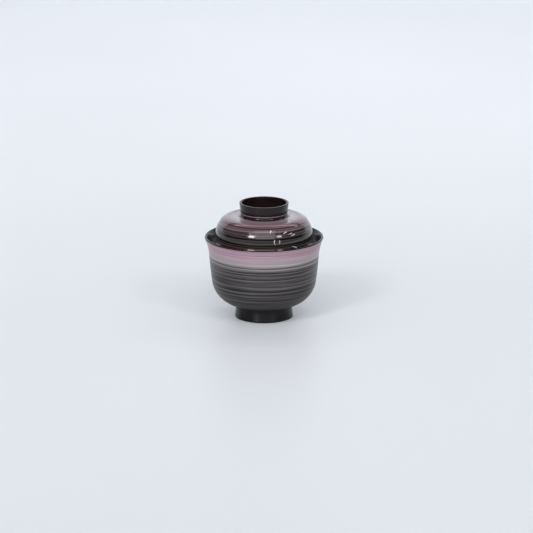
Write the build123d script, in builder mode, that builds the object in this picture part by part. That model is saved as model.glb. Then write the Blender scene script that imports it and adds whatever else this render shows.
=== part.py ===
from build123d import *
from math import cos, radians, sin, sqrt, tan
import os

# A lacquer soup bowl with its lid: two turned bodies on one upright axis.
# The lid sits inside the bowl's flared rim and lifts straight off.
# Millimetres. Z is up, and the origin is the centre of the plane that the foot rests on.
# Each half section is drawn as (radius, height) and turned about the axis.

# Bowl, from the rim down
rim_radius = 56.0
rim_height = 78.2
rim_thickness = 2.2
rim_flare_width = 4.0
rim_flare_height = 17.4
wall_taper = 2.75
wall_bulge = 0.17
wall_thickness = 3.4
heel_rise = 22.25
heel_thickness = 3.6
heel_fullness = 0.75
floor_thickness = 4.5

# Foot ring under the bowl
foot_radius = 27.7
foot_height = 12.6
foot_spread = 1.2
foot_hollow = 0.2
foot_thickness = 3.6
foot_edge_round = 0.7
foot_fillet = 0.8
recess_depth = 11.6
recess_fillet = 2.0

# Lid, from its edge up
seat_depth = 8.6
seat_clearance = 0.25
lid_thickness = 2.2
skirt_width = 4.46
skirt_lean = 40.0
skirt_fillet = 7.0
lid_wall_height = 1.54
shoulder_radius = 19.1
shoulder_turn = 29.8
slope_length = 2.65
crown_flat = 7.7

# Finger ring on the lid
ring_height = 13.1
ring_thickness = 2.3
ring_spread = 0.85
ring_edge_round = 0.8
ring_step = 0.5
neck_radius = 21.95
neck_fillet = 3.0
neck_height = 0.5
bead_radius = 0.45
bead_gap = 0.3
cup_fillet = 1.5


def touch_point(start, outward, lip_centre, lip_round):
    """Where an arc that leaves start at right angles to outward comes to lie along a round lip.

    A positive lip_round gives the lip's outer side, a negative one its inner side.
    """
    across = start - lip_centre
    radius = (across.dot(across) - lip_round**2) / (2 * (lip_round - across.dot(outward)))
    centre = start + outward * radius
    return centre + (lip_centre - centre) * (radius / (radius + lip_round))


def dome(inset):
    """Draws the lid's half section line from its wall to the axis, this far inside the outer face.

    Returns the height at which it meets the axis.
    """
    wall_radius = lid_wall_radius - inset
    upright = Line((wall_radius, lid_wall_foot), (wall_radius, lid_wall_foot + lid_wall_height))
    shoulder = JernArc(upright @ 1, upright % 1, shoulder_radius - inset, shoulder_turn)
    slope = Line(shoulder @ 1, shoulder @ 1 + shoulder % 1 * slope_length)
    crown = JernArc(slope @ 1, slope % 1, crown_radius - inset, 90 - shoulder_turn)
    top_height = (crown @ 1).Y
    Line(crown @ 1, (0, top_height))
    return top_height


# Bowl: a flared rim with a rounded lip, a nearly upright wall, a round heel and a ring foot.
wall_top = Vector(rim_radius - rim_flare_width, rim_height - rim_flare_height)
heel_top = Vector(wall_top.X - wall_taper, foot_height + heel_rise)
rim_round = rim_thickness / 2
rim_centre = Vector(rim_radius - rim_round, rim_height - rim_round)
foot_top = Vector(foot_radius - foot_spread, foot_height)
recess_radius = foot_radius - foot_thickness
floor_height = recess_depth + floor_thickness

with BuildPart() as bowl:
    with BuildSketch(Plane.XZ) as bowl_section:
        with BuildLine():
            # Outside
            wall = SagittaArc(heel_top, wall_top, -wall_bulge)
            wall_out = (wall % 1).rotate(Axis.Z, -90)
            heel_out = (wall % 0).rotate(Axis.Z, -90)
            flare_top = touch_point(wall_top, wall_out, rim_centre, rim_round)
            flare = TangentArc(wall_top, flare_top, tangent=wall % 1)
            TangentArc(heel_top, foot_top, tangent=-(wall % 0))
            SagittaArc(foot_top, (foot_radius, 0), -foot_hollow)
            # Inside
            inner_top = wall_top - wall_out * wall_thickness
            inner_flare_top = touch_point(inner_top, wall_out, rim_centre, -rim_round)
            inner_flare = TangentArc(inner_top, inner_flare_top, tangent=wall % 1)
            TangentArc(flare_top, inner_flare_top, tangent=flare % 1)
            inner_heel = heel_top - heel_out * heel_thickness
            inner_wall = TangentArc(inner_top, inner_heel, tangent=-(wall % 1))
            inner_lean = inner_wall % 1
            corner = inner_heel + inner_lean * ((floor_height - inner_heel.Y) / inner_lean.Y)
            floor_centre = Vector(0, floor_height)
            heel_handle = inner_heel + (corner - inner_heel) * heel_fullness
            floor_handle = floor_centre + (corner - floor_centre) * heel_fullness
            Bezier(inner_heel, heel_handle, floor_handle, floor_centre)
            # Underside
            Polyline(
                floor_centre,
                (0, recess_depth),
                (recess_radius, recess_depth),
                (recess_radius, 0),
                (foot_radius, 0),
            )
        make_face()
        fillet(bowl_section.vertices().sort_by_distance((recess_radius, recess_depth))[0], recess_fillet)
        fillet(bowl_section.vertices().sort_by_distance(foot_top)[0], foot_fillet)
        fillet(bowl_section.vertices().group_by(Axis.Y)[0], foot_edge_round)
    revolve(axis=Axis.Z)

# Lid: the rounded edge of its skirt lies against the bowl's inner flare, and the dome rises inside the rim.
lid_round = lid_thickness / 2
seat_height = rim_height - seat_depth
edge_height = seat_height + lid_round
seat_centre = inner_flare.arc_center
seat_reach = inner_flare.radius + seat_clearance + lid_round
edge_centre = Vector(seat_centre.X - sqrt(seat_reach**2 - (edge_height - seat_centre.Y) ** 2), edge_height)
lid_wall_radius = edge_centre.X + lid_round - skirt_width

# The wall turns out into the skirt through a fillet, whose tangents run this far from the corner.
lean = radians(skirt_lean)
skirt_out = Vector(cos(lean), sin(lean))
skirt_down = Vector(sin(lean), -cos(lean))
fillet_reach = skirt_fillet * tan(lean / 2)
edge_top = edge_centre + skirt_out * lid_round
skirt_corner = edge_top - skirt_down * ((edge_top.X - lid_wall_radius) / skirt_down.X)
skirt_top = skirt_corner + skirt_down * fillet_reach
lid_wall_foot = skirt_corner.Y + fillet_reach

# The crown's arc fills what is left between the slope and the flat around the finger ring.
turn = radians(shoulder_turn)
slope_foot_radius = lid_wall_radius - shoulder_radius * (1 - cos(turn))
slope_end_radius = slope_foot_radius - slope_length * sin(turn)
crown_radius = (slope_end_radius - neck_radius - neck_fillet - crown_flat) / cos(turn)

with BuildPart() as lid:
    with BuildSketch(Plane.XZ) as lid_section:
        with BuildLine():
            skirt = Line(skirt_top, edge_top)
            skirt_under = Line(skirt_top - skirt_out * lid_thickness, edge_top - skirt_out * lid_thickness)
            TangentArc(skirt @ 1, skirt_under @ 1, tangent=skirt % 1)
            TangentArc((lid_wall_radius, lid_wall_foot), skirt @ 0, tangent=(0, -1))
            TangentArc((lid_wall_radius - lid_thickness, lid_wall_foot), skirt_under @ 0, tangent=(0, -1))
            crown_height = dome(0)
            ceiling_height = dome(lid_thickness)
            Line((0, crown_height), (0, ceiling_height))
        make_face()

        # Finger ring: a neck with a fine bead, and above it a band that spreads to a rounded lip
        ring_foot = (crown_height + ceiling_height) / 2
        ring_top = crown_height + ring_height
        bead_height = crown_height + neck_fillet + neck_height + bead_radius
        band_foot = bead_height + bead_radius + bead_gap
        band_radius = neck_radius + ring_step
        lip_radius = band_radius + ring_spread
        cup_radius = neck_radius - ring_thickness
        with BuildLine():
            Polyline(
                (cup_radius, ring_foot),
                (neck_radius, ring_foot),
                (neck_radius, band_foot),
                (band_radius, band_foot),
                (lip_radius, ring_top),
                (lip_radius - ring_thickness, ring_top),
                close=True,
            )
        make_face()
        with Locations((neck_radius, bead_height)):
            Circle(bead_radius)
        fillet(lid_section.vertices().sort_by_distance((neck_radius, crown_height))[0], neck_fillet)
        fillet(lid_section.vertices().sort_by_distance((cup_radius, crown_height))[0], cup_fillet)
        fillet(lid_section.vertices().group_by(Axis.Y)[-1], ring_edge_round)
    revolve(axis=Axis.Z)

bowl.part.label = "bowl"
lid.part.label = "lid"
os.makedirs("parts", exist_ok=True)
export_step(bowl.part, "parts/bowl.step")
export_step(lid.part, "parts/lid.step")
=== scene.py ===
"""The looks of a lacquer soup bowl with its lid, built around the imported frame.

Each half section is a line of (radius, height) points in millimetres, turned about the upright axis.
"""

import bpy
import numpy as np
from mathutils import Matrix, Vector


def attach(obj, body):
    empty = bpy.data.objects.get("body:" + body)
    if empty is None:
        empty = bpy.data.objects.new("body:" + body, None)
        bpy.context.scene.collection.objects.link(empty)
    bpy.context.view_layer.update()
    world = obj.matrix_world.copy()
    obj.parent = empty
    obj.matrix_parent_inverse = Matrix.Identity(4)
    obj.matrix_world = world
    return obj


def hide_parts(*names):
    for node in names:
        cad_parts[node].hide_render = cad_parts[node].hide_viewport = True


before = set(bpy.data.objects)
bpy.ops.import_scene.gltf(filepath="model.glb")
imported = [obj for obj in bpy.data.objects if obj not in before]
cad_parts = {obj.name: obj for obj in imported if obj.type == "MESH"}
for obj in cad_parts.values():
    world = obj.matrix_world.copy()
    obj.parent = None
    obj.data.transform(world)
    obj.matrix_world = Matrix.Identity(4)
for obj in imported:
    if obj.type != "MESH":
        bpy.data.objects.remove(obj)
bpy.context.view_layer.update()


# Bowl
# One moulded body with its ring foot: a dense core of resin or wood under coats of lacquer. A brush drawn
# round it on a turning head left fine level ridges, and a mauve coat sprayed from the rim fades away down
# the wall. The inside, the lip and the foot are plain black, and the outside turns black on the heel just
# above the foot.
MM = 0.001
rim_radius = 56.0
rim_height = 78.2
rim_thickness = 2.2
rim_flare_width = 4.0
rim_flare_height = 17.4
wall_taper = 2.75
wall_bulge = 0.17
wall_thickness = 3.4
heel_rise = 22.25
heel_thickness = 3.6
heel_fullness = 0.75
floor_height = 16.1
foot_radius = 27.7
foot_height = 12.6
foot_spread = 1.2
foot_hollow = 0.2
foot_thickness = 3.6
foot_edge_round = 0.7
foot_fillet = 0.8
recess_depth = 11.6
recess_fillet = 2.0

# Relief of the brush marks for a tone of 1, and the length over which they die away at an end
bowl_relief = 0.05
mark_fade = 1.5

# Points round the axis, and how far apart they lie along brushed, plain and rounded lines of a section
facets = 192
angles = np.linspace(0, 2 * np.pi, facets, endpoint=False)
fine_step = 0.25
plain_step = 1.2
round_step = 0.15


def turned_by(vector, angle):
    """The vector turned anticlockwise by an angle in radians."""
    c, s = np.cos(angle), np.sin(angle)
    return np.array([c * vector[0] - s * vector[1], s * vector[0] + c * vector[1]])


def straight(start, end, step):
    """Evenly spaced points on the line from start to end, no further apart than step."""
    count = int(np.hypot(*np.subtract(end, start)) / step) + 2
    return np.linspace(start, end, count)


def arc_from(start, heading, end, step):
    """Points on the circle that leaves start along heading and comes to end, and the heading there.

    The circle turns by twice the angle between heading and chord, and its radius is the chord
    over twice the sine of that angle.
    """
    across = turned_by(heading, np.pi / 2)
    chord = np.subtract(end, start)
    half_turn = np.arctan2(chord @ across, chord @ heading)
    radius = np.hypot(*chord) / (2 * np.sin(half_turn))
    centre = start + radius * across
    count = int(abs(2 * half_turn * radius) / step) + 2
    turns = np.linspace(0, 2 * half_turn, count)
    points = centre + turned_by(start - centre, turns).T
    return points, turned_by(heading, 2 * half_turn)


def bezier(controls, step):
    """Points on the Bezier curve with these controls: each pass blends every control with the next."""
    controls = np.array(controls, float)
    count = int(np.hypot(*np.diff(controls, axis=0).T).sum() / step) + 2
    share = np.linspace(0, 1, count)[:, None, None]
    blend = np.repeat(controls[None], count, axis=0)
    while blend.shape[1] > 1:
        blend = (1 - share) * blend[:, :-1] + share * blend[:, 1:]
    return blend[:, 0]


def corner(before, at, after, reach, step=round_step):
    """A rounded corner: the Bezier curve from reach short of the corner to reach past it."""
    back = np.subtract(before, at)
    on = np.subtract(after, at)
    start = at + back * (reach / np.hypot(*back))
    end = at + on * (reach / np.hypot(*on))
    return bezier([start, at, end], step)


def joined(*pieces):
    """The pieces end to end as one line, with each shared point once."""
    same_point = 1e-6
    kept = [pieces[0]]
    for piece in pieces[1:]:
        gap = np.hypot(*(piece[0] - kept[-1][-1]))
        kept.append(piece[1:] if gap < same_point else piece)
    return np.concatenate(kept)


def touch_point(start, outward, lip_centre, lip_round):
    """Where an arc that leaves start square to outward comes to lie along a round lip.

    The arc's centre is start plus radius times outward, and it lies radius plus lip_round from the lip's
    centre. A positive lip_round gives the lip's outer side, a negative one its inner side.
    """
    across = start - lip_centre
    radius = (across @ across - lip_round**2) / (2 * (lip_round - across @ outward))
    centre = start + outward * radius
    return centre + (lip_centre - centre) * (radius / (radius + lip_round))


wall_top = np.array([rim_radius - rim_flare_width, rim_height - rim_flare_height])
heel_top = np.array([wall_top[0] - wall_taper, foot_height + heel_rise])
rim_round = rim_thickness / 2
rim_centre = np.array([rim_radius - rim_round, rim_height - rim_round])
foot_top = np.array([foot_radius - foot_spread, foot_height])
foot_land = np.array([foot_radius, 0.0])
recess_radius = foot_radius - foot_thickness

# The wall bulges a little, so at its ends it leans by bulge_lean to its chord
wall_chord = wall_top - heel_top
wall_rise = wall_chord / np.hypot(*wall_chord)
bulge_lean = 2 * np.arctan(2 * wall_bulge / np.hypot(*wall_chord))
heel_heading = turned_by(wall_rise, -bulge_lean)
flare_heading = turned_by(wall_rise, bulge_lean)
heel_out = turned_by(heel_heading, -np.pi / 2)
flare_out = turned_by(flare_heading, -np.pi / 2)

# Outside, drawn from the wall's ends and turned round to run from the rim down
flare_top = touch_point(wall_top, flare_out, rim_centre, rim_round)
lip_edge = rim_centre + [rim_round, 0]
wall, _ = arc_from(heel_top, heel_heading, wall_top, fine_step)
flare, flare_end = arc_from(wall_top, flare_heading, flare_top, fine_step)
lip_under, _ = arc_from(flare_top, flare_end, lip_edge, round_step)
heel, _ = arc_from(heel_top, -heel_heading, foot_top, fine_step)
heel = heel[np.hypot(*(heel - foot_top).T) > foot_fillet]
foot_middle = (foot_top + foot_land) / 2 - [foot_hollow * 2, 0]
foot_side = bezier([foot_top, foot_middle, foot_land], plain_step / 2)
foot_side = foot_side[(foot_side[:, 1] < foot_height - foot_fillet) & (foot_side[:, 1] > foot_edge_round)]
foot_curve = bezier([heel[-1], foot_top, foot_side[0]], round_step)
outside = joined(lip_under[::-1], flare[::-1], wall[::-1], heel, foot_curve, foot_side)

# Inside, from the floor's centre up to the lip
inner_top = wall_top - flare_out * wall_thickness
inner_heel = heel_top - heel_out * heel_thickness
inner_wall, inner_heading = arc_from(inner_top, -flare_heading, inner_heel, plain_step)
floor_corner = inner_heel + inner_heading * ((floor_height - inner_heel[1]) / inner_heading[1])
floor_centre = np.array([0.0, floor_height])
floor_handle = floor_centre + (floor_corner - floor_centre) * heel_fullness
heel_handle = inner_heel + (floor_corner - inner_heel) * heel_fullness
inner_heel_curve = bezier([floor_centre, floor_handle, heel_handle, inner_heel], plain_step)
inner_flare_top = touch_point(inner_top, flare_out, rim_centre, -rim_round)
inner_flare, lip_heading = arc_from(inner_top, flare_heading, inner_flare_top, plain_step)
lip, _ = arc_from(inner_flare_top, lip_heading, lip_edge, round_step)
inside = joined(inner_heel_curve, inner_wall[::-1], inner_flare, lip)

# Under the foot ring and up into its recess
recess_top = np.array([recess_radius, recess_depth])
recess_foot = np.array([recess_radius, 0.0])
underside = np.array([0.0, recess_depth])
foot = joined(
    corner(foot_top, foot_land, recess_foot, foot_edge_round),
    corner(foot_land, recess_foot, recess_top, foot_edge_round),
    corner(recess_foot, recess_top, underside, recess_fillet),
    straight(recess_top - [recess_fillet, 0], underside, plain_step),
)
bowl_section = joined(inside, outside, foot)


def run_along(line):
    """The distance travelled along a line, at each of its points."""
    steps = np.hypot(*np.diff(line, axis=0).T)
    return np.concatenate([[0.0], np.cumsum(steps)])


def brush_tone(runs, marks):
    """How much lighter or darker the brush left the lacquer, on the grid of angles and runs.

    Each row of marks is (place, width, strength, side, spread, waver). A mark is a level line with the
    bell section exp(-((run - place) / width)^2), which wavers up and down by waver once round the axis.
    It dies away from the angle side as exp(-(chord / spread)^2), the chord being that of a unit circle.
    """
    place, width, strength, side, spread, waver = marks.T
    angle = angles[:, None, None]
    line = place + waver * np.sin(angle - 2 * side)
    fade = np.exp(-((2 * np.sin((angle - side) / 2) / spread) ** 2))
    bell = np.exp(-(((runs[:, None] - line) / width) ** 2))
    return (strength * fade * bell).sum(axis=-1)


def fine_marks(seed, count, length):
    """Fine brush marks spread evenly over a length of the section, alike on every run of the script."""
    draw = np.random.default_rng(seed)
    place = (np.arange(count) + draw.uniform(0, 1, count)) * (length / count)
    width = draw.uniform(0.25, 0.5, count)
    strength = draw.normal(0, 1.0, count)
    side = draw.uniform(0, 2 * np.pi, count)
    spread = draw.uniform(0.5, 3.0, count)
    waver = draw.uniform(-0.2, 0.2, count)
    return np.stack([place, width, strength, side, spread, waver], axis=1)


def main_marks(marks, first_side):
    """The marks that show most, given as rows of (place, width, strength), each over most of the turn."""
    place, width, strength = np.array(marks).T
    side_step = 2.4
    side = first_side + np.arange(len(marks)) * side_step
    spread = np.full(len(marks), 2.2)
    waver = np.full(len(marks), 0.15)
    return np.stack([place, width, strength, side, spread, waver], axis=1)


def ring_faces(count, around):
    """The quads between count rings of around points each, and the fans that close the ends at two poles,
    whose points follow the rings.
    """
    ring, place = np.mgrid[0 : count - 1, 0:around]
    after = (place + 1) % around
    quads = np.stack([ring * around + place, (ring + 1) * around + place,
                      (ring + 1) * around + after, ring * around + after], axis=-1).reshape(-1, 4)
    once = np.arange(around)
    on = (once + 1) % around
    last = (count - 1) * around
    first_fan = np.stack([np.full(around, count * around), once, on], axis=1)
    last_fan = np.stack([last + once, np.full(around, count * around + 1), last + on], axis=1)
    return quads, np.concatenate([first_fan, last_fan])


def turned_mesh(name, section, runs, tone, relief, bands):
    """A closed mesh of the section turned about the axis, (r cos a, r sin a, z), with its first and last
    points as poles. The tone on the grid lifts the surface by relief along its outward normal. Tone and
    run are kept as attributes. Bands gives a material number for each section point, and a face takes
    that of the point it leads to.
    """
    heading = np.gradient(section, axis=0)
    heading /= np.hypot(*heading.T)[:, None]
    lift = relief * tone
    radius = section[:, 0] - heading[:, 1] * lift
    height = section[:, 1] + heading[:, 0] * lift
    angle = angles[:, None]
    grid = np.stack([radius * np.cos(angle), radius * np.sin(angle), height], axis=-1)
    rings = grid[:, 1:-1].swapaxes(0, 1)
    poles = [(0, 0, section[0, 1]), (0, 0, section[-1, 1])]
    points = np.concatenate([rings.reshape(-1, 3), poles]) * MM

    quads, fans = ring_faces(len(section) - 2, facets)
    mesh = bpy.data.meshes.new(name)
    mesh.from_pydata(points.tolist(), [], quads.tolist() + fans.tolist())
    numbers = np.concatenate([np.repeat(bands[2:-1], facets), np.full(facets, bands[0]),
                              np.full(facets, bands[-1])])
    mesh.polygons.foreach_set("material_index", numbers.astype(np.int32))
    mesh.polygons.foreach_set("use_smooth", np.ones(len(mesh.polygons), bool))
    for key, values in (("brush_tone", tone[:, 1:-1].T), ("brush_run", np.repeat(runs[1:-1], facets))):
        kept = mesh.attributes.new(key, "FLOAT", "POINT")
        kept.data.foreach_set("value", np.concatenate([values.ravel(), [0, 0]]).astype(np.float32))
    made = bpy.data.objects.new(name, mesh)
    bpy.context.scene.collection.objects.link(made)
    return made


def linear(code):
    """Linear colour from an sRGB hex code: c / 12.92 up to 0.04045, and ((c + 0.055) / 1.055)^2.4 above."""
    c = np.array([int(code[i : i + 2], 16) for i in (1, 3, 5)]) / 255
    return (*np.where(c > 0.04045, ((c + 0.055) / 1.055) ** 2.4, c / 12.92).tolist(), 1.0)


def node(tree, kind, inputs=(), stops=(), **settings):
    """Adds a node. Settings are its properties, stops a ramp's places and colours, and inputs the values
    or links of its sockets, by name or number. Map Range has the value at 0, its range at 1 and 2 and the
    new range at 3 and 4, and Mix has the share at 0 and its two colours at 6 and 7.
    """
    made = tree.nodes.new("ShaderNode" + kind)
    for key, value in settings.items():
        setattr(made, key, value)
    for place, _ in stops[2:]:
        made.color_ramp.elements.new(place)
    for element, (place, code) in zip(made.color_ramp.elements if stops else (), stops):
        element.position = place
        element.color = linear(code)
    for key, value in dict(inputs).items():
        if isinstance(value, bpy.types.NodeSocket):
            tree.links.new(value, made.inputs[key])
        else:
            made.inputs[key].default_value = value
    return made


def new_material(name):
    """An empty node material, its node tree and its output node."""
    made = bpy.data.materials.new(name)
    made.use_nodes = True
    made.node_tree.nodes.clear()
    return made, made.node_tree, node(made.node_tree, "OutputMaterial")


# Most of a noise texture's values lie between these two
NOISE_LOW, NOISE_HIGH = 0.3, 0.7


def brushed_lacquer(name, length, troughs, ridges, ior, clear):
    """Brushed lacquer: coats that fade along the section, darker in the brush's troughs than on its ridges.

    Troughs and ridges are stops of (run in mm, colour). The eye sees crowded level lines where the two
    lie far apart. Its own gloss is drawn out across the lines, and clear is the share of a smooth coat
    over it, which gives sharp highlights.
    """
    made, tree, output = new_material(name)
    place = node(tree, "TexCoord").outputs["Object"]
    tone = node(tree, "Attribute", attribute_name="brush_tone").outputs["Fac"]
    run = node(tree, "Attribute", attribute_name="brush_run").outputs["Fac"]

    # Hair lines of the brush, 0.6 mm apart and some 60 mm long: real ones are finer than this shows.
    # The run is in millimetres, Object coordinates in metres.
    hair_gap, hair_length, hair_depth = 0.6, 60 * MM, 0.06 * MM
    level_scale = (1 / hair_length, 1 / hair_length, 0)
    level_place = node(tree, "VectorMath", {0: place, 1: level_scale}, operation="MULTIPLY").outputs[0]
    hair_run = node(tree, "Math", {0: run, 1: 1 / hair_gap}, operation="MULTIPLY").outputs[0]
    line_place = node(tree, "CombineXYZ", {"Z": hair_run}).outputs[0]
    hair_place = node(tree, "VectorMath", {0: level_place, 1: line_place}, operation="ADD").outputs[0]
    hair = node(tree, "TexNoise", {"Vector": hair_place, "Scale": 1.0, "Detail": 2.0}).outputs[0]

    # The brush's tone and its hair lines together make the troughs and the ridges
    trough_tone, ridge_tone = -0.6, 0.9
    hair_values = {0: hair, 1: NOISE_LOW, 2: NOISE_HIGH}
    hair_tone = node(tree, "MapRange", {**hair_values, 3: -1.0, 4: 1.0}).outputs[0]
    lines = node(tree, "Math", {0: tone, 1: hair_tone}, operation="ADD").outputs[0]
    ridge = node(tree, "MapRange", {0: lines, 1: trough_tone, 2: ridge_tone}).outputs[0]
    share = node(tree, "MapRange", {0: run, 1: 0.0, 2: length}).outputs[0]
    low = node(tree, "ValToRGB", {0: share}, [(at / length, code) for at, code in troughs]).outputs[0]
    high = node(tree, "ValToRGB", {0: share}, [(at / length, code) for at, code in ridges]).outputs[0]
    colour = node(tree, "Mix", {0: ridge, 6: low, 7: high}, data_type="RGBA").outputs[2]

    smooth, dull = 0.33, 0.43
    rough = node(tree, "MapRange", {**hair_values, 3: smooth, 4: dull}).outputs[0]
    bump = node(tree, "Bump", {"Height": hair, "Strength": 1.0, "Distance": hair_depth}).outputs[0]
    along = node(tree, "Tangent", direction_type="RADIAL", axis="Z").outputs[0]
    shader = node(tree, "BsdfPrincipled", {
        "Base Color": colour, "Roughness": rough, "IOR": ior, "Normal": bump, "Tangent": along,
        "Anisotropic": 0.9, "Anisotropic Rotation": 0.25,
        "Coat Weight": clear, "Coat Roughness": 0.12, "Coat IOR": 1.6,
    })
    tree.links.new(shader.outputs[0], output.inputs["Surface"])
    return made


# The brush marks that show most, as (height, width, strength), and the coats' colours by height
bowl_marks = [
    (72.8, 0.8, -0.7), (70.7, 0.6, 0.5), (64.4, 0.6, -1.0), (61.9, 0.8, 0.8), (59.5, 0.6, -1.3),
    (57.5, 0.9, 0.9), (55.2, 0.9, -1.2), (52.3, 0.8, -1.0), (50.2, 0.9, 0.6), (41.0, 0.5, -0.8),
    (39.9, 0.4, 1.3), (38.0, 0.9, -0.7), (35.2, 0.8, 0.8), (32.9, 0.5, -0.8), (26.0, 0.8, -0.6),
]
bowl_troughs = [
    (77.0, "#8e7480"), (71.0, "#937784"), (66.0, "#90848b"), (63.0, "#8a8387"), (61.2, "#7b7679"),
    (59.5, "#454143"), (55.0, "#2a2729"), (50.0, "#1b191b"), (30.0, "#171517"), (17.8, "#141214"),
    (16.6, "#0e0d0e"), (0.0, "#0f0d0f"),
]
bowl_ridges = [
    (77.0, "#9f8591"), (71.0, "#a88f9b"), (66.0, "#aa989f"), (62.0, "#a1969b"), (59.0, "#8c8689"),
    (56.5, "#777274"), (54.0, "#625d60"), (50.0, "#565254"), (40.0, "#565254"), (30.0, "#4c484a"),
    (17.8, "#464248"), (16.6, "#141214"), (0.0, "#100e10"),
]
outside_run = run_along(outside)
outside_start = len(inside) - 1
on_outside = slice(outside_start, outside_start + len(outside))


def by_run(rows):
    """The rows with the height that each starts with turned into the run down the bowl's outside."""
    return [(np.interp(-height, -outside[:, 1], outside_run), *rest) for height, *rest in rows]


bowl_strokes = np.concatenate([
    main_marks(by_run(bowl_marks), first_side=0.0),
    fine_marks(seed=7, count=150, length=outside_run[-1]),
])
bowl_ends = np.clip(np.minimum(outside_run, outside_run[-1] - outside_run) / mark_fade, 0, 1)
bowl_tone = np.zeros((facets, len(bowl_section)))
bowl_tone[:, on_outside] = brush_tone(outside_run, bowl_strokes) * bowl_ends
bowl_run = np.zeros(len(bowl_section))
bowl_run[on_outside] = outside_run

BLACK, BRUSHED = 0, 1
bowl_bands = np.full(len(bowl_section), BLACK)
bowl_bands[outside_start + 1 : on_outside.stop] = BRUSHED
bowl = turned_mesh("bowl_body", bowl_section, bowl_run, bowl_tone, bowl_relief, bowl_bands)

# Black lacquer, flowed out and rubbed: nearly black with a warm cast, in clouds about 18 mm across, under
# a gloss with a faint orange peel about 2.5 mm across
cloud_size, peel_size, peel_depth = 18 * MM, 2.5 * MM, 0.02 * MM
black, tree, output = new_material("black_lacquer")
place = node(tree, "TexCoord").outputs["Object"]
cloud = node(tree, "TexNoise", {"Vector": place, "Scale": 1 / cloud_size, "Detail": 3.0}).outputs[0]
peel = node(tree, "TexNoise", {"Vector": place, "Scale": 1 / peel_size, "Detail": 1.0}).outputs[0]
black_colour = node(tree, "ValToRGB", {0: cloud}, [(0.35, "#160d0e"), (0.7, "#211618")]).outputs[0]
black_rough = node(tree, "MapRange", {0: cloud, 1: NOISE_LOW, 2: NOISE_HIGH, 3: 0.1, 4: 0.18}).outputs[0]
bump = node(tree, "Bump", {"Height": peel, "Strength": 0.15, "Distance": peel_depth}).outputs[0]
shader = node(tree, "BsdfPrincipled", {
    "Base Color": black_colour, "Roughness": black_rough, "IOR": 1.36, "Normal": bump})
tree.links.new(shader.outputs[0], output.inputs["Surface"])
bowl.data.materials.append(black)
bowl.data.materials.append(brushed_lacquer(
    "mauve_brushed_lacquer", outside_run[-1], by_run(bowl_troughs), by_run(bowl_ridges), ior=1.4, clear=0.0))
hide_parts("bowl")
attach(bowl, "bowl")


# Lid
# One moulded dome with its finger ring, of the same core and lacquer. Its wall turns out into a skirt, whose
# rounded edge lies against the inside of the bowl's flare. The mauve spray covers the crown and dies away
# over the shoulder, and the finger ring is black but for a fine light line round the neck: partly mauve spray
# caught on the bead, partly a painted highlight where the bead catches the light.
seat_depth = 8.6
seat_clearance = 0.25
lid_thickness = 2.2
skirt_width = 4.46
skirt_lean = np.radians(40.0)
skirt_fillet = 7.0
lid_wall_height = 1.54
shoulder_radius = 19.1
shoulder_turn = np.radians(29.8)
slope_length = 2.65
crown_flat = 7.7
ring_height = 13.1
ring_thickness = 2.3
ring_spread = 0.85
ring_edge_round = 0.8
ring_step = 0.5
band_edge_round = 0.12
neck_radius = 21.95
neck_fillet = 3.0
neck_height = 0.5
bead_radius = 0.45
bead_gap = 0.3
cup_fillet = 1.5
lid_relief = 0.006
UP, DOWN, OUT = np.array([0.0, 1.0]), np.array([0.0, -1.0]), np.array([1.0, 0.0])

# How far apart points lie on the finger ring's small forms
band_edge_step = 0.03
bead_step = 0.08
neck_step = 0.1
neck_curve_step = 0.2

# The edge lies a clearance off the arc of the bowl's inner flare
lid_round = lid_thickness / 2
seat_height = rim_height - seat_depth
inner_chord = inner_flare_top - inner_top
inner_radius = (inner_chord @ inner_chord) / (2 * (inner_chord @ flare_out))
inner_centre = inner_top + flare_out * inner_radius
edge_height = seat_height + lid_round
seat_reach = inner_radius + seat_clearance + lid_round
edge_reach = np.sqrt(seat_reach**2 - (edge_height - inner_centre[1]) ** 2)
edge_centre = np.array([inner_centre[0] - edge_reach, edge_height])
lid_wall_radius = edge_centre[0] + lid_round - skirt_width

# The wall turns out into the skirt through a fillet, whose tangents run fillet_reach from the corner
skirt_out = turned_by(OUT, skirt_lean)
skirt_down = turned_by(DOWN, skirt_lean)
fillet_reach = skirt_fillet * np.tan(skirt_lean / 2)
edge_top = edge_centre + skirt_out * lid_round
skirt_corner = edge_top - skirt_down * ((edge_top[0] - lid_wall_radius) / skirt_down[0])
skirt_top = skirt_corner + skirt_down * fillet_reach
wall_foot = skirt_corner + UP * fillet_reach
slope_end_radius = (lid_wall_radius - shoulder_radius * (1 - np.cos(shoulder_turn))
                    - slope_length * np.sin(shoulder_turn))
crown_radius = (slope_end_radius - neck_radius - neck_fillet - crown_flat) / np.cos(shoulder_turn)


def dome(inset, step):
    """The lid's line from its wall's foot up to the axis, this far inside the outer face:
    an upright, a shoulder arc, a straight slope and a crown arc, each leaving along the last, and a flat.
    """
    foot_point = wall_foot - OUT * inset
    shoulder_foot = foot_point + UP * lid_wall_height
    slope_heading = turned_by(UP, shoulder_turn)
    shoulder_centre = shoulder_foot - OUT * (shoulder_radius - inset)
    slope_foot = shoulder_centre + turned_by(OUT, shoulder_turn) * (shoulder_radius - inset)
    slope_end = slope_foot + slope_heading * slope_length
    crown_centre = slope_end - turned_by(OUT, shoulder_turn) * (crown_radius - inset)
    crown_end = crown_centre + UP * (crown_radius - inset)
    shoulder, _ = arc_from(shoulder_foot, UP, slope_foot, step)
    crown, _ = arc_from(slope_end, slope_heading, crown_end, step)
    return joined(
        straight(foot_point, shoulder_foot, step),
        shoulder,
        straight(slope_foot, slope_end, step),
        crown,
        straight(crown_end, crown_end * UP, step),
    )


outer_dome = dome(0, fine_step)
ceiling = dome(lid_thickness, plain_step)
crown_height = outer_dome[-1, 1]

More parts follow.
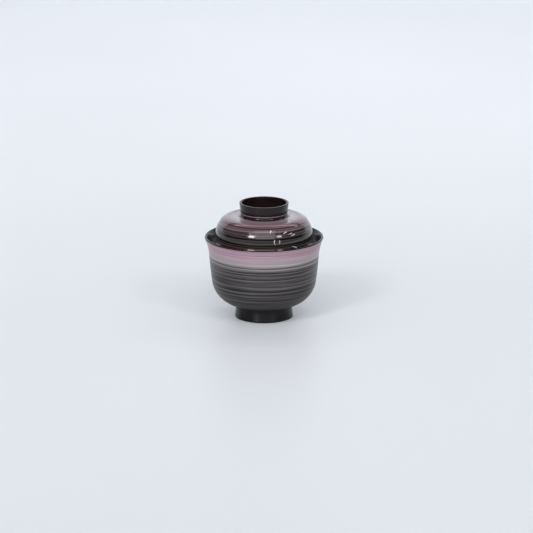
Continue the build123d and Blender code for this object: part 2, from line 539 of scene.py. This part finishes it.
# Finger ring, from the middle of its cup over the lip and down the outside to the neck
ring_top = crown_height + ring_height
band_radius = neck_radius + ring_step
ring_lip_radius = band_radius + ring_spread
neck_top = crown_height + neck_fillet + neck_height
bead_top = neck_top + 2 * bead_radius
band_foot = bead_top + bead_gap
cup_start = np.array([0.0, crown_height])
cup_corner = np.array([neck_radius - ring_thickness, crown_height])
cup_top = np.array([ring_lip_radius - ring_thickness, ring_top])
lip_corner = np.array([ring_lip_radius, ring_top])
band_corner = np.array([band_radius, band_foot])
neck_corner = np.array([neck_radius, band_foot])
neck_start = np.array([neck_radius, crown_height + neck_fillet])
neck_end = np.array([neck_radius + neck_fillet, crown_height])
bead, _ = arc_from(np.array([neck_radius, bead_top]), OUT, np.array([neck_radius, neck_top]), bead_step)
neck_curve, _ = arc_from(neck_start, DOWN, neck_end, neck_curve_step)
cup_rim = corner(cup_corner, cup_top, lip_corner, ring_edge_round)
cup_foot = corner(cup_start, cup_corner, cup_top, cup_fillet)
ring_lip = corner(cup_top, lip_corner, band_corner, ring_edge_round)
band_edge = corner(lip_corner, band_corner, neck_corner, band_edge_round, band_edge_step)
finger_ring = joined(
    straight(cup_start, cup_foot[0], plain_step),
    cup_foot,
    straight(cup_foot[-1], cup_rim[0], plain_step),
    cup_rim,
    ring_lip,
    straight(ring_lip[-1], band_edge[0], fine_step),
    band_edge,
    straight(band_edge[-1], neck_corner, neck_step),
    straight(neck_corner, bead[0], neck_step),
    bead,
    straight(bead[-1], neck_curve[0], neck_step),
)

# From the neck out over the dome, round the skirt's edge and back under it
edge_bottom = edge_top - skirt_out * lid_thickness
under_top = skirt_top - skirt_out * lid_thickness
skirt_curve, _ = arc_from(wall_foot, DOWN, skirt_top, round_step)
edge, _ = arc_from(edge_top, skirt_down, edge_bottom, round_step)
under_curve, _ = arc_from(wall_foot - OUT * lid_thickness, DOWN, under_top, plain_step)
shown_dome = outer_dome[outer_dome[:, 0] > neck_radius + neck_fillet]
lid_outside = joined(neck_curve, shown_dome[::-1], skirt_curve, straight(skirt_top, edge_top, fine_step))
skirt_under = joined(straight(edge_bottom, under_top, plain_step), under_curve[::-1])
lid_section = joined(finger_ring, lid_outside, edge, skirt_under, ceiling)

# The brush marks that show most, as (run from the neck, width, strength), and the coats' colours by run
lid_marks = [
    (9.0, 0.9, -0.3), (20.7, 0.6, -1.0), (23.2, 0.8, 0.8), (25.6, 0.5, -1.3), (27.5, 0.5, 1.4),
    (28.5, 0.5, -1.6), (29.5, 0.4, 1.2), (31.2, 0.6, -2.2), (32.7, 0.6, 1.4), (34.0, 0.5, -2.0),
    (35.0, 0.4, 1.5), (36.4, 0.8, -2.4), (37.8, 0.4, 1.6), (38.7, 0.5, -2.0), (39.9, 0.5, 1.6),
]
lid_troughs = [
    (0.0, "#1a1012"), (3.4, "#4a353a"), (5.0, "#988791"), (8.5, "#8a7983"), (11.5, "#7a6871"),
    (14.5, "#69575f"), (18.3, "#5a4248"), (20.3, "#3c2c2e"), (24.0, "#3a2c30"), (26.0, "#1f1a1b"),
    (30.0, "#0f0c0c"), (46.5, "#0c0909"),
]
lid_ridges = [
    (0.0, "#1a1012"), (3.4, "#4a353a"), (5.0, "#a2909a"), (8.5, "#948390"), (11.5, "#84737d"),
    (14.5, "#75626a"), (18.3, "#755860"), (22.0, "#755c66"), (24.0, "#70606a"), (26.0, "#4c4247"),
    (30.0, "#453b3b"), (34.0, "#3a3130"), (39.0, "#463c39"), (41.0, "#332b29"), (46.5, "#100c0b"),
]
lid_run = run_along(lid_outside)
lid_start = len(finger_ring) - 1
on_lid_outside = slice(lid_start, lid_start + len(lid_outside))
lid_strokes = np.concatenate([
    main_marks(lid_marks, first_side=1.0),
    fine_marks(seed=19, count=80, length=lid_run[-1]),
])

# The marks are faint on the crown's flat, full a little past it, and die away at the skirt's edge
flat_share, flat_margin, flat_fade = 0.25, 1.0, 4.0
flat_end = neck_fillet * np.pi / 2 + crown_flat
lid_ends = np.interp(
    lid_run,
    [0.0, flat_end - flat_margin, flat_end + flat_fade, lid_run[-1] - mark_fade, lid_run[-1]],
    [0.0, flat_share, 1.0, 1.0, 0.0],
)
lid_tone = np.zeros((facets, len(lid_section)))
lid_tone[:, on_lid_outside] = brush_tone(lid_run, lid_strokes) * lid_ends
lid_section_run = np.zeros(len(lid_section))
lid_section_run[on_lid_outside] = lid_run

# The fine line covers the bead's lower half and a little of the neck under it, in the flat's colour. It is
# partly mauve spray caught on the bead and partly a painted highlight, set where the bead catches the light.
rounding = 0.01
radii, heights = lid_section.T
on_neck = (radii > neck_radius - rounding) & (radii < neck_radius + 2 * bead_radius)
on_bead = on_neck & (heights > neck_top - bead_radius) & (heights < neck_top + bead_radius)
lid_section_run[on_bead] = flat_end - crown_flat / 2

lid_bands = np.full(len(lid_section), BLACK)
lid_bands[on_lid_outside][lid_run > neck_fillet] = BRUSHED
lid_bands[on_bead] = BRUSHED
lid = turned_mesh("lid_body", lid_section, lid_section_run, lid_tone, lid_relief, lid_bands)

# The lid was rubbed smoother than the bowl: its brushed coats are nearly dull under a clear coat
lid.data.materials.append(black)
lid.data.materials.append(brushed_lacquer(
    "brown_mauve_brushed_lacquer", lid_run[-1], lid_troughs, lid_ridges, ior=1.1, clear=1.0))
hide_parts("lid")
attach(lid, "lid")


# Silver petals on the lid
# Painted by hand in silver over the brushed lacquer, on the side that faces the guest: loose petals,
# each of one or two short strokes that start full and run out thin.
petal_relief = 0.12
petal_sink = 0.08
full_end = 0.35
stroke_steps = 19
mound_steps = 8
# Each stroke as (azimuth from the front, run from the neck, length, width, tilt up from level, bow)
silver_strokes = np.array([
    (8.5, 23.4, 3.4, 1.1, 68.0, 0.15), (27.5, 25.4, 4.8, 1.2, 20.0, 0.35), (34.0, 26.6, 4.6, 1.0, 12.0, -0.3),
    (37.5, 28.7, 5.4, 1.2, 14.0, 0.3), (13.2, 33.6, 5.2, 1.0, 95.0, 0.8), (18.0, 33.4, 3.8, 1.0, 80.0, -0.5),
    (38.0, 40.3, 5.6, 1.2, -24.0, 0.4),
])


def on_lid(azimuth, run, lift):
    """Points of the lid's outside at azimuths from the front and runs from the neck: the section's radius
    and height there, moved by lift along its outward normal and turned to the azimuth.
    """
    radius = np.interp(run, lid_run, lid_outside[:, 0])
    height = np.interp(run, lid_run, lid_outside[:, 1])
    heading = np.gradient(lid_outside, lid_run, axis=0)
    radius = radius - lift * np.interp(run, lid_run, heading[:, 1])
    height = height + lift * np.interp(run, lid_run, heading[:, 0])
    return np.stack([radius * np.sin(azimuth), -radius * np.cos(azimuth), height], axis=-1)


# A stroke's middle line is a shallow bow, s along and 1 - s^2 across for s from -1 to 1, turned by its tilt.
# Its half width is sqrt(1 - s^2) times 1 + full_end s, and its section is a low mound. The arrays run over
# the strokes, the steps along each and the steps round its mound.
azimuth, petal_run, petal_length, petal_width, tilt, bow = silver_strokes.T[:, :, None, None]
stroke_place = np.linspace(-1, 1, stroke_steps)[None, :, None]
mound = np.linspace(2 * np.pi, 0, mound_steps, endpoint=False)
full = np.sqrt(1 - stroke_place**2) * (1 + full_end * stroke_place)
along = petal_length / 2 * stroke_place
across = bow * (1 - stroke_place**2) + petal_width / 2 * full * np.cos(mound)
lift = full * np.where(np.sin(mound) > 0, petal_relief, petal_sink) * np.sin(mound)
lean = np.radians(tilt)
level = along * np.cos(lean) - across * np.sin(lean)
climb = along * np.sin(lean) + across * np.cos(lean)
stroke_run = petal_run - climb
stroke_azimuth = np.radians(azimuth) + level / np.interp(stroke_run, lid_run, lid_outside[:, 0])
petal_grid = on_lid(stroke_azimuth, stroke_run, lift)
petal_rings = petal_grid[:, 1:-1].reshape(len(silver_strokes), -1, 3)
petal_poles = petal_grid[:, [0, -1], 0]
petal_points = np.concatenate([petal_rings, petal_poles], axis=1)
quads, fans = ring_faces(stroke_steps - 2, mound_steps)
first_points = np.arange(len(silver_strokes))[:, None, None] * petal_points.shape[1]
petal_faces = (quads + first_points).reshape(-1, 4).tolist() + (fans + first_points).reshape(-1, 3).tolist()
petal_mesh = bpy.data.meshes.new("silver_petals")
petal_mesh.from_pydata((petal_points.reshape(-1, 3) * MM).tolist(), [], petal_faces)
petal_mesh.polygons.foreach_set("use_smooth", np.ones(len(petal_mesh.polygons), bool))
petals = bpy.data.objects.new("silver_petals", petal_mesh)
bpy.context.scene.collection.objects.link(petals)

# Silver powder in lacquer: a soft metal sheen, broken by grains. They are drawn about 0.3 mm across, coarser
# than real powder, so that they show.
grain_size = 0.3 * MM
silver, tree, output = new_material("silver_powder_lacquer")
place = node(tree, "TexCoord").outputs["Object"]
grain = node(tree, "TexNoise", {"Vector": place, "Scale": 1 / grain_size}).outputs[0]
silver_stops = [(NOISE_LOW, "#b9b6b2"), (NOISE_HIGH, "#e6e4e0")]
silver_colour = node(tree, "ValToRGB", {0: grain}, silver_stops).outputs[0]
silver_rough = node(tree, "MapRange", {0: grain, 1: NOISE_LOW, 2: NOISE_HIGH, 3: 0.3, 4: 0.5}).outputs[0]
shader = node(tree, "BsdfPrincipled", {
    "Base Color": silver_colour, "Roughness": silver_rough, "Metallic": 0.6})
tree.links.new(shader.outputs[0], output.inputs["Surface"])
petal_mesh.materials.append(silver)
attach(petals, "lid")


# Table and backdrop
# One sheet of matt white paper that lies on the table and rises behind in a wide curve.
# Its sizes are in metres.
sheet_half_width = 4.0
sheet_front = -4.0
sheet_back = 2.0
sheet_curve = 0.8
sheet_top = 2.6
bend_steps = 24
bend = np.linspace(0, np.pi / 2, bend_steps)
sheet_line = np.concatenate([
    [[sheet_front, 0.0]],
    np.stack([sheet_back + sheet_curve * np.sin(bend), sheet_curve * (1 - np.cos(bend))], axis=1),
    [[sheet_back + sheet_curve, sheet_top]],
])
count = len(sheet_line)
sheet_side = np.repeat([-sheet_half_width, sheet_half_width], count)
sheet_points = np.column_stack([sheet_side, np.tile(sheet_line, (2, 1))])
step_on = np.arange(count - 1)
sheet_faces = np.stack([step_on, step_on + count, step_on + count + 1, step_on + 1], axis=1)
sheet_mesh = bpy.data.meshes.new("paper_sweep")
sheet_mesh.from_pydata(sheet_points.tolist(), [], sheet_faces.tolist())
sheet_mesh.polygons.foreach_set("use_smooth", np.ones(count - 1, bool))
sweep = bpy.data.objects.new("paper_sweep", sheet_mesh)
bpy.context.scene.collection.objects.link(sweep)

# Matt coated paper: a slight sheen, and a white that drifts a little over five sixths of a metre
tint_size = 5 / 6
paper, tree, output = new_material("matt_white_paper")
place = node(tree, "TexCoord").outputs["Object"]
tint = node(tree, "TexNoise", {"Vector": place, "Scale": 1 / tint_size}).outputs[0]
paper_stops = [(NOISE_LOW, "#d8dce2"), (NOISE_HIGH, "#dee2e8")]
paper_colour = node(tree, "ValToRGB", {0: tint}, paper_stops).outputs[0]
shader = node(tree, "BsdfPrincipled", {
    "Base Color": paper_colour, "Roughness": 0.42, "Specular IOR Level": 0.35})
tree.links.new(shader.outputs[0], output.inputs["Surface"])
sheet_mesh.materials.append(paper)


# Light
# A soft fill that is strongest low down and in front, two small lamps in front, left and right, and a wide
# dim panel above them. What the gloss sees of the room is pale low down behind, and dark elsewhere.
fill_low = 0.94
fill_high = 0.05
fill_front = 0.4
world = bpy.data.worlds.new("studio")
bpy.context.scene.world = world
world.use_nodes = True
tree = world.node_tree
tree.nodes.clear()
path = node(tree, "LightPath").outputs
seen = node(tree, "Math", {0: path["Is Camera Ray"], 1: path["Is Glossy Ray"]}, operation="ADD").outputs[0]
seen = node(tree, "Math", {0: seen, 1: path["Is Transmission Ray"]},
            operation="ADD", use_clamp=True).outputs[0]
direction = node(tree, "SeparateXYZ", {0: node(tree, "TexCoord").outputs["Generated"]}).outputs
rise, depth = direction["Z"], direction["Y"]

# The room: bounds of rise and depth are parts of a direction of length 1
dark_above, pale_below = 0.3, 0.1
dark_before, pale_behind = 0.1, 0.6
soft = {"interpolation_type": "SMOOTHSTEP"}
low = node(tree, "MapRange", {0: rise, 1: dark_above, 2: pale_below}, **soft).outputs[0]
behind = node(tree, "MapRange", {0: depth, 1: dark_before, 2: pale_behind}, **soft).outputs[0]
low_behind = node(tree, "Math", {0: low, 1: behind}, operation="MULTIPLY").outputs[0]
pale = node(tree, "Math", {0: low_behind, 1: path["Is Camera Ray"]}, operation="MAXIMUM").outputs[0]
room = node(tree, "ValToRGB", {0: pale}, [(0.0, "#2b2b2d"), (1.0, "#e3e8ee")]).outputs[0]

# The fill: even up to low_top, and from there down to fill_high straight overhead
low_top = 0.3
sky = node(tree, "MapRange", {0: rise, 1: low_top, 2: 1.0, 3: fill_low, 4: fill_high}).outputs[0]
most, least = 1.0 + fill_front, 1.0 - fill_front
front = node(tree, "MapRange", {0: depth, 1: -1.0, 2: 1.0, 3: most, 4: least}).outputs[0]
sky = node(tree, "Math", {0: sky, 1: front}, operation="MULTIPLY").outputs[0]
fill = node(tree, "Mix", {0: seen, 6: sky, 7: room}, data_type="RGBA")
background = node(tree, "Background", {"Color": fill.outputs[2]})
tree.links.new(background.outputs[0], node(tree, "OutputWorld").inputs["Surface"])

# One wide lamp high behind the object lights the paper there
backdrop_lamp = bpy.data.lights.new("backdrop_lamp", "AREA")
backdrop_lamp.shape = "RECTANGLE"
backdrop_lamp.size = 3.0
backdrop_lamp.size_y = 0.6
backdrop_lamp.energy = 12.0
lamp = bpy.data.objects.new("backdrop_lamp", backdrop_lamp)
lamp.location = (0.4, 0.9, 1.6)
lamp.rotation_euler = (np.radians(25.0), 0.0, 0.0)
bpy.context.scene.collection.objects.link(lamp)

# Each square lamp in front as (name, azimuth from the front, elevation, side, radiance)
lamp_distance = 8.0
lamp_target = Vector((0, 0, 0.085))
for name, lamp_azimuth, lamp_elevation, side, radiance in (
    ("lamp_left", -33.0, 33.5, 1.9, 16.0),
    ("lamp_right", 40.0, 33.5, 1.35, 14.0),
    ("front_panel", 2.0, 43.0, 6.4, 1.7),
):
    turn, pitch = np.radians(lamp_azimuth), np.radians(lamp_elevation)
    towards = Vector((np.sin(turn) * np.cos(pitch), -np.cos(turn) * np.cos(pitch), np.sin(pitch)))
    light = bpy.data.lights.new(name, "AREA")
    light.shape = "SQUARE"
    light.size = side
    light.energy = radiance * np.pi * side**2
    lamp = bpy.data.objects.new(name, light)
    lamp.location = lamp_target + towards * lamp_distance
    lamp.rotation_mode = "QUATERNION"
    lamp.rotation_quaternion = (-towards).to_track_quat("-Z", "Y")
    bpy.context.scene.collection.objects.link(lamp)


# Camera
# A long lens a little above the rim. It turns about a point in the bowl that the picture shows at
# middle_pixel, and is aimed past it by what that is off the picture's centre.
picture_size = 533
middle_pixel = (264.05, 259.4)
middle_height = 0.055
camera_distance = 2.6
camera_elevation = np.radians(15.3)
pixels_per_mm = 1.058
focal_pixels = pixels_per_mm / MM * camera_distance
camera_data = bpy.data.cameras.new("camera")
camera_data.sensor_width = 36.0
camera_data.lens = focal_pixels / picture_size * camera_data.sensor_width
camera = bpy.data.objects.new("camera", camera_data)
back = Vector((0, -np.cos(camera_elevation), np.sin(camera_elevation)))
upward = Vector((0, np.sin(camera_elevation), np.cos(camera_elevation)))
middle = Vector((0, 0, middle_height))
off_right = (picture_size / 2 - middle_pixel[0]) / focal_pixels
off_down = (picture_size / 2 - middle_pixel[1]) / focal_pixels
aim = -back + Vector((1, 0, 0)) * off_right - upward * off_down
camera.location = middle + back * camera_distance
camera.rotation_mode = "QUATERNION"
camera.rotation_quaternion = aim.to_track_quat("-Z", "Y")
bpy.context.scene.collection.objects.link(camera)
bpy.context.scene.camera = camera
bpy.context.scene.view_settings.view_transform = "Standard"
